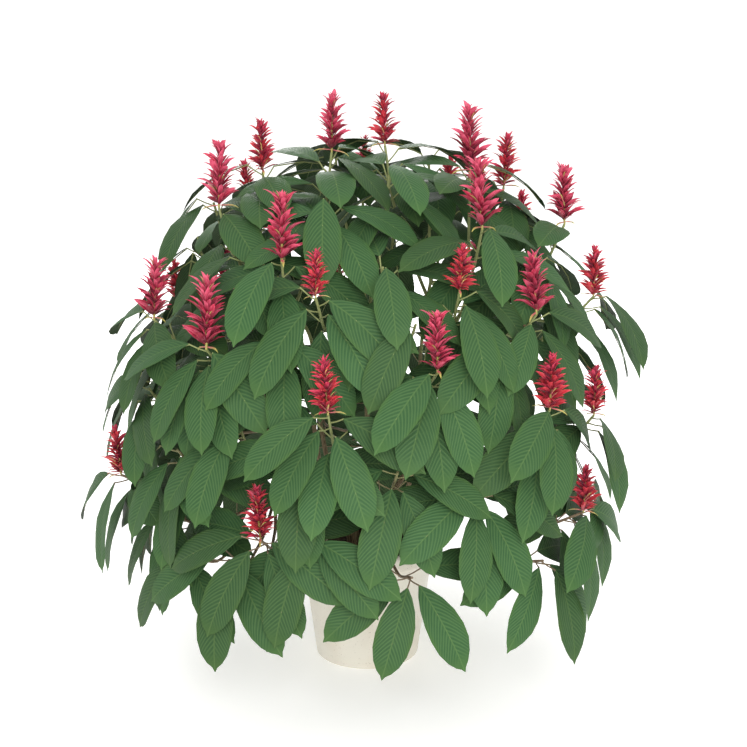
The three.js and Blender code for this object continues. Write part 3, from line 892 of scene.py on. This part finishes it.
def bractMaterial():
    material, tree, surface = newMaterial("bract", bractPlan["roughness"], bractPlan["specular"])
    apart = addNode(tree, "ShaderNodeSeparateXYZ")
    feed(tree, apart.inputs[0], mapOf(tree))
    u, along = apart.outputs[0], apart.outputs[1]
    starts = [column / len(bractColumns) for column in range(len(bractColumns))]
    bases, tips = zip(*bractPlan["colours"].values())
    base = ramp(tree, u, list(zip(starts, bases)), steps=True)
    tip = ramp(tree, u, list(zip(starts, tips)), steps=True)
    colour = mixColours(tree, between(tree, along, *bractPlan["tipEdge"]), base, tip)
    streaks = noise(tree, stretched(tree, mapOf(tree), bractPlan["streakStretch"]), 1, detail=3)
    # streaks along the bract: light ones are painted highlights, dark ones darken it in streaks
    for kind in ("light", "dark"):
        share = between(tree, streaks, *bractPlan[kind + "Edge"], 0.0, bractPlan[kind + "Share"])
        colour = mixColours(tree, share, colour, bractPlan[kind + "Streak"])
    feed(tree, surface.inputs["Base Color"], colour)
    addBump(tree, surface, streaks, bractPlan["bumpStrength"], bractPlan["bumpHeight"])
    return material


def modelBract(material):
    deselectAll()
    bpy.ops.mesh.primitive_grid_add(x_subdivisions=2, y_subdivisions=1, size=1)
    bract = bpy.context.object
    bract.name = "bractPattern"
    editMode(True)
    bpy.ops.mesh.select_mode(type="VERT")
    selectWhere(bract, lambda co: near(abs(co.x), 0.5))
    bpy.ops.transform.translate(value=(0, 0, bractPlan["cup"]))
    extrudeStrip(bract, bractPlan)
    editMode(False)
    solid = bract.modifiers.new("thickness", "SOLIDIFY")
    solid.thickness = bractPlan["thickness"]
    solid.offset = 0
    bract.data.materials.append(material)
    applyModifiers(bract)
    smooth(bract, angle=60)
    mapBract(bract.data)
    return bract


def mapBract(mesh):
    layer = newMap(mesh)
    (acrossX, acrossZ), (alongY, alongZ) = bractPlan["mapAcross"], bractPlan["mapAlong"]
    for face in mesh.polygons:
        side = bractPlan["mapSides"][0 if face.normal.z > 0 else 1]
        for loop in face.loop_indices:
            place = mesh.vertices[mesh.loops[loop].vertex_index].co
            u = (side + place.x * acrossX + place.z * acrossZ) / len(bractColumns)
            layer.data[loop].uv = u, bractPlan["mapEdge"] + place.y * alongY + place.z * alongZ


def placeBract(bract, colour, height, turn, lean, length, wide, roll=0.0):
    copy = copyPiece(bract)
    tilt = Matrix.Rotation(math.radians(90 - lean), 4, "X") @ Matrix.Rotation(roll, 4, "Y")
    size = Matrix.Diagonal((length * wide, length, length, 1))
    copy.data.transform(Matrix.Translation((0, 0, height)) @ Matrix.Rotation(turn, 4, "Z") @ tilt @ size)
    shift = bractColumns.index(colour) / len(bractColumns)
    for corner in copy.data.uv_layers[bakeMap].data:
        corner.uv.x += shift
    return copy


def modelStalk(material):
    # The stalk and the axis that it turns into, as one tapering rod
    radius, rows = spikePlan["stalkRadius"], spikePlan["stalk"]
    outline = [(radius * thick / rows[0][1], height) for height, thick in rows]
    stalk = extrudeRound(outline, spikePlan["stalkSides"])
    stalk.data.materials.append(material)
    smooth(stalk, angle=60)
    layer = newMap(stalk.data)
    place = spikePlan["stalkMap"]
    for loop in stalk.data.loops:
        x, y, z = stalk.data.vertices[loop.vertex_index].co
        turn = math.atan2(y, x) / math.tau + 0.5
        column = bractColumns.index("axis") + place["start"] + place["round"] * turn
        layer.data[loop.index].uv = column / len(bractColumns), place["edge"] + z * place["up"] + x
    return stalk


def either(chance, most):  # by chance, up to so much more or less
    return chance.uniform(-most, most)


def modelSpike(kind, bract, stalk):
    chance = random.Random(kind["seed"])
    slender, foot, tuft = spikePlan["slender"], spikePlan["foot"], spikePlan["tuft"]
    usual, shareBelow, shareAbove = spikePlan["usualDense" if kind["dense"] else "usual"]
    pieces = [copyPiece(stalk)]
    for tier in range(kind["tiers"]):
        share = tier / (kind["tiers"] - 1)
        height = blend(spikePlan["lowest"], spikePlan["highest"], share)
        lean = blend(*kind["lean"], share ** spikePlan["leanCurve"])
        length = blend(*kind["length"], share)
        for place in range(kind["each"]):
            turn = math.tau * (place / kind["each"] + tier * spikePlan["tierTurn"])
            turn += either(chance, spikePlan["turnSpread"])
            likely = chance.random() < blend(shareBelow, shareAbove, share)
            colour = usual if likely else chance.choice(spikePlan["others"])
            pieces.append(placeBract(
                bract, colour, height + either(chance, spikePlan["heightSpread"]), turn,
                lean + either(chance, spikePlan["leanSpread"]),
                length * chance.uniform(*spikePlan["lengthSpread"]),
                chance.uniform(*spikePlan["widthSpread"]), either(chance, spikePlan["rollSpread"])))
        for _ in range(slender["count"]):
            turn = chance.uniform(0, math.tau)
            colour = "pale" if chance.random() < slender["pale"] else "crimson"
            pieces.append(placeBract(
                bract, colour, height, turn, lean * slender["lean"], length * slender["length"],
                slender["wide"]))
    for place, lean in enumerate(foot["leans"]):  # the long pale bracts at the foot
        turn = chance.uniform(0, 1) + place * math.pi
        pieces.append(placeBract(
            bract, "pale", foot["height"], turn, lean, foot["length"], foot["wide"]))
    for place in range(tuft["count"]):  # the upright tuft at the top
        turn = math.tau * place / tuft["count"] + either(chance, tuft["spread"])
        lean = chance.uniform(*tuft["leans"])
        colour = tuft["colourDense" if kind["dense"] else "colour"]
        pieces.append(placeBract(
            bract, colour, tuft["height"], turn, lean, tuft["length"], tuft["wide"]))
    return joinPieces(pieces, "spikePattern_" + kind["name"])


def growSpikes():
    material = bractMaterial()
    bract, stalk = modelBract(material), modelStalk(material)
    patterns = [modelSpike(kind, bract, stalk) for kind in spikePlan["kinds"]]
    names = [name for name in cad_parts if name.startswith("flower_spike_")]
    for name in sorted(names, key=lambda text: int(text.split("_")[-1])):
        points, _ = readNode(name)
        points = points[np.argsort(points[:, 2])]
        foot = Vector(points[:spikePlan["footCorners"]].mean(axis=0))
        tip = Vector(points[-1])
        length = (tip - foot).length
        number = int(name.split("_")[-1])
        dense = length < spikePlan["denseBelow"]
        fitting = [p for kind, p in zip(spikePlan["kinds"], patterns) if kind["dense"] == dense]
        spike = copyPiece(fitting[number % len(fitting)])
        spike.name = spike.data.name = f"spike_{number:02d}"
        upright = (tip - foot).to_track_quat("Z", "Y").to_matrix().to_4x4()
        turn = Matrix.Rotation(random.uniform(0, math.tau), 4, "Z")
        spike.data.transform(Matrix.Translation(foot) @ upright @ turn @ Matrix.Scale(length, 4))
        standFor(spike, "crimson_bract", name)
    for piece in patterns + [bract, stalk]:
        bpy.data.objects.remove(piece)


growSpikes()
print("spikes grown")


# Pot

potPlan = {
    "sides": 96,
    "outline": [  # radius and height, from the foot up the outside, over the rim and down the inside
        (0.135, 0), (0.138, 0.003), (0.1751, 0.278), (0.187, 0.282), (0.191, 0.29), (0.191, 0.324),
        (0.187, 0.33), (0.176, 0.33), (0.171, 0.324), (0.1693, 0.296), (0.129, 0.015),
    ],
    "edge": 0.0016,  # how wide the rounded edges are
    "edgeSteps": 2,
    "edgeAngle": 28,  # degrees: a sharper one is rounded
    "drains": 4,
    "drainRadius": 0.009,
    "drainReach": 0.078,
    "drillSides": 24,
    "drillDepth": 0.06,
    "glaze": shade(226, 221, 208),
    "glazeThin": shade(204, 190, 166),
    "thinScale": 7,
    "thinEdge": (0.4, 0.75),
    "thinShare": 0.4,
    "speck": shade(120, 98, 74),
    "speckScale": 260,
    "speckEdge": (0.7, 0.76),
    "speckShare": 0.6,
    "ringStretch": (1, 1, 90),
    "ringScale": 2,
    "bumpStrength": 0.12,
    "bumpHeight": 0.002,
    "roughness": 0.42,
    "roughnessEdge": (0.3, 0.8),
    "roughnessRange": (0.34, 0.52),
    "specular": 0.5,
}


def potMaterial():
    material, tree, surface = newMaterial("matt_glaze", potPlan["roughness"], potPlan["specular"])
    place = placeOf(tree)
    broad = noise(tree, place, potPlan["thinScale"], detail=4)
    share = between(tree, broad, *potPlan["thinEdge"], 0.0, potPlan["thinShare"])
    colour = mixColours(tree, share, potPlan["glaze"], potPlan["glazeThin"])
    specks = noise(tree, place, potPlan["speckScale"], detail=1)
    share = between(tree, specks, *potPlan["speckEdge"], 0.0, potPlan["speckShare"])
    colour = mixColours(tree, share, colour, potPlan["speck"])
    feed(tree, surface.inputs["Base Color"], colour)
    roughness = between(tree, broad, *potPlan["roughnessEdge"], *potPlan["roughnessRange"])
    feed(tree, surface.inputs["Roughness"], roughness)
    rings = noise(tree, stretched(tree, place, potPlan["ringStretch"]), potPlan["ringScale"], detail=2)
    addBump(tree, surface, rings, potPlan["bumpStrength"], potPlan["bumpHeight"])
    return material


def drillDrains(pot):
    for index in range(potPlan["drains"]):
        turn = math.tau * (index + 0.5) / potPlan["drains"]
        place = (potPlan["drainReach"] * math.sin(turn), -potPlan["drainReach"] * math.cos(turn), 0)
        deselectAll()
        bpy.ops.mesh.primitive_cylinder_add(
            vertices=potPlan["drillSides"], radius=potPlan["drainRadius"], depth=potPlan["drillDepth"],
            location=place)
        drill = bpy.context.object
        cut = pot.modifiers.new("drain", "BOOLEAN")
        cut.operation = "DIFFERENCE"
        cut.object = drill
        applyModifiers(pot)
        bpy.data.objects.remove(drill)


def modelPot():
    pot = extrudeRound(potPlan["outline"], potPlan["sides"])
    pot.name = pot.data.name = "glazed_pot"
    drillDrains(pot)
    edges = pot.modifiers.new("edges", "BEVEL")
    edges.width = potPlan["edge"]
    edges.segments = potPlan["edgeSteps"]
    edges.limit_method = "ANGLE"
    edges.angle_limit = math.radians(potPlan["edgeAngle"])
    applyModifiers(pot)
    smooth(pot, angle=35)
    pot.data.materials.append(potMaterial())
    standFor(pot, "glazed_pot", "plant_pot")


modelPot()
print("pot modelled")


# Soil

soilPlan = {
    "radius": 0.1688,
    "footRadius": 0.1288,
    "bottom": 0.0153,
    "top": 0.293,
    "sides": 96,
    "rings": 16,
    "levelEdge": 0.003,  # along the pot's wall, where the surface stays level
    "lumps": {"size": 0.035, "height": 0.016},
    "crumbs": {"size": 0.012, "height": 0.006},
    "colours": [(0.35, shade(34, 24, 17)), (0.55, shade(66, 49, 36)), (0.72, shade(104, 82, 60))],
    "grainScale": 120,
    "bumpStrength": 0.9,
    "bumpHeight": 0.004,
    "roughness": 0.95,
    "specular": 0.2,
}


def soilMaterial():
    material, tree, surface = newMaterial("potting_mix", soilPlan["roughness"], soilPlan["specular"])
    grain = noise(tree, placeOf(tree), soilPlan["grainScale"], detail=6, roughness=0.7)
    feed(tree, surface.inputs["Base Color"], ramp(tree, grain, soilPlan["colours"]))
    addBump(tree, surface, grain, soilPlan["bumpStrength"], soilPlan["bumpHeight"])
    return material


def modelSoil():
    deselectAll()
    depth = soilPlan["top"] - soilPlan["bottom"]
    middle = (soilPlan["top"] + soilPlan["bottom"]) / 2
    bpy.ops.mesh.primitive_cone_add(
        vertices=soilPlan["sides"], radius1=soilPlan["footRadius"], radius2=soilPlan["radius"],
        depth=depth, end_fill_type="NGON", location=(0, 0, middle))
    soil = bpy.context.object
    soil.name = soil.data.name = "soil"
    bpy.ops.object.transform_apply(location=True)
    editMode(True)
    bpy.ops.mesh.select_mode(type="VERT")
    selectWhere(soil, lambda co: co.z > middle)
    for _ in range(soilPlan["rings"]):
        bpy.ops.mesh.inset(thickness=soilPlan["radius"] / (soilPlan["rings"] + 1), use_boundary=True)
    editMode(False)
    loose = soil.vertex_groups.new(name="top")
    radius = soilPlan["radius"] - soilPlan["levelEdge"]
    inside = [v.index for v in soil.data.vertices if v.co.z > middle and v.co.xy.length < radius]
    loose.add(inside, 1, "REPLACE")
    for name in ("lumps", "crumbs"):
        texture = bpy.data.textures.new(name, "CLOUDS")
        texture.noise_scale = soilPlan[name]["size"]
        lift = soil.modifiers.new(name, "DISPLACE")
        lift.texture = texture
        lift.texture_coords = "LOCAL"
        lift.direction = "Z"
        lift.strength = soilPlan[name]["height"]
        lift.vertex_group = "top"
    applyModifiers(soil)
    smooth(soil, angle=60)
    soil.data.materials.append(soilMaterial())
    standFor(soil, "soil", "potting_soil")


modelSoil()
print("soil modelled")


# Floor and light

stagePlan = {
    "floorSize": 160,
    "floorColour": shade(250, 250, 248),
    "floorGlow": 0.3,  # keeps the shadow under the leaves pale
    "sky": 1.0,
    "aim": (0, 0, 0.75),  # where the lights point
    "lights": {
        "key": {"place": (0.6, -5.4, 2.8), "size": 3, "power": 210},
        "back": {"place": (-0.6, 5.4, 2.8), "size": 3, "power": 160},
        "top": {"place": (0.6, 0.8, 5.5), "size": 4, "power": 30},
    },
}


def addLight(name, light):
    deselectAll()
    bpy.ops.object.light_add(type="AREA", location=light["place"])
    lamp = bpy.context.object
    lamp.name = name
    lamp.data.shape = "DISK"
    lamp.data.size = light["size"]
    lamp.data.energy = light["power"]
    sight = Vector(stagePlan["aim"]) - lamp.location
    lamp.rotation_euler = sight.to_track_quat("-Z", "Y").to_euler()


def setStage():
    deselectAll()
    bpy.ops.mesh.primitive_plane_add(size=stagePlan["floorSize"])
    floor = bpy.context.object
    floor.name = "floor"
    material, _, surface = newMaterial("pale_floor", roughness=0.9, specular=0.1)
    surface.inputs["Base Color"].default_value = stagePlan["floorColour"]
    surface.inputs["Emission Color"].default_value = stagePlan["floorColour"]
    surface.inputs["Emission Strength"].default_value = stagePlan["floorGlow"]
    floor.data.materials.append(material)
    world = bpy.data.worlds.new("studio")
    world.use_nodes = True
    world.node_tree.nodes["Background"].inputs["Color"].default_value = (1, 1, 1, 1)
    world.node_tree.nodes["Background"].inputs["Strength"].default_value = stagePlan["sky"]
    scene.world = world
    for name, light in stagePlan["lights"].items():
        addLight(name, light)
    scene.view_settings.view_transform = "Standard"
    scene.view_settings.look = "None"


setStage()
print("stage set")
